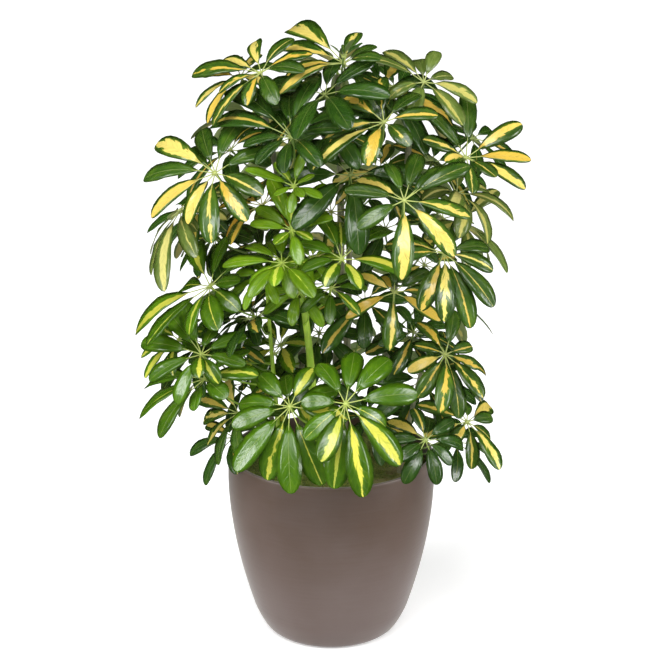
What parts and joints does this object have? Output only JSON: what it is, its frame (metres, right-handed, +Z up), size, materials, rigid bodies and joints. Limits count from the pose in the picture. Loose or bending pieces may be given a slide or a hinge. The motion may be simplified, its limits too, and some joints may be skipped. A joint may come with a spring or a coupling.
{
  "type": "potted umbrella plant",
  "caption": "Variegated umbrella plant in a round tapered planter, with leaves of leaflets spread like umbrella ribs on upright stems that stand in mossed soil.",
  "frame": {"origin": "centre of the planter's flat base, on the floor that it stands on", "axes": "+Z up along the planter's axis, -Y towards the plant's front, +X to the right seen from the front"},
  "size_m": [0.6338, 0.6098, 1.0366],
  "materials": {
    "planter": "satin",
    "soil": "matte",
    "moss": "matte",
    "bark": "matte",
    "green_stem": "satin",
    "leaf_variegated": "gloss",
    "leaf_dark": "gloss",
    "leaf_fresh": "gloss",
    "leaf_young": "satin"
  },
  "bodies": {
    "root": {"planter": "planter", "soil": "soil", "moss": "moss", "stem_tall": "bark", "stem_left": "bark", "stem_right": "bark", "stem_young": "green_stem", "stem_thin": "green_stem", "stem_low_front": "green_stem", "stem_low_right": "bark", "stem_low_left": "bark", "stem_back": "bark", "leaf_tall_1": "leaf_dark", "leaf_tall_2": "leaf_dark", "leaf_tall_3": "leaf_variegated", "leaf_tall_4": "leaf_dark", "leaf_tall_5": "leaf_variegated", "leaf_tall_6": "leaf_variegated", "leaf_tall_7": "leaf_dark", "leaf_left_1": "leaf_dark", "leaf_left_2": "leaf_variegated", "leaf_left_3": "leaf_variegated", "leaf_left_4": "leaf_variegated", "leaf_left_5": "leaf_variegated", "leaf_left_6": "leaf_dark", "leaf_left_7": "leaf_variegated", "leaf_left_8": "leaf_variegated", "leaf_right_1": "leaf_variegated", "leaf_right_2": "leaf_variegated", "leaf_right_3": "leaf_variegated", "leaf_right_4": "leaf_variegated", "leaf_right_5": "leaf_variegated", "leaf_right_6": "leaf_variegated", "leaf_right_7": "leaf_variegated", "leaf_right_8": "leaf_dark", "leaf_right_9": "leaf_variegated", "leaf_young_1": "leaf_fresh", "leaf_young_2": "leaf_young", "leaf_young_3": "leaf_young", "leaf_young_4": "leaf_young", "leaf_thin_1": "leaf_fresh", "leaf_thin_2": "leaf_fresh", "leaf_thin_3": "leaf_dark", "leaf_thin_4": "leaf_fresh", "leaf_low_front_1": "leaf_fresh", "leaf_low_front_2": "leaf_fresh", "leaf_low_front_3": "leaf_dark", "leaf_low_right_1": "leaf_variegated", "leaf_low_right_2": "leaf_dark", "leaf_low_right_3": "leaf_dark", "leaf_low_right_4": "leaf_variegated", "leaf_low_left_1": "leaf_variegated", "leaf_low_left_2": "leaf_dark", "leaf_back_1": "leaf_dark", "leaf_back_2": "leaf_dark", "leaf_back_3": "leaf_variegated", "leaf_back_4": "leaf_dark", "leaf_back_5": "leaf_variegated", "leaf_back_6": "leaf_dark", "leaf_back_7": "leaf_variegated"}
  },
  "joints": []
}
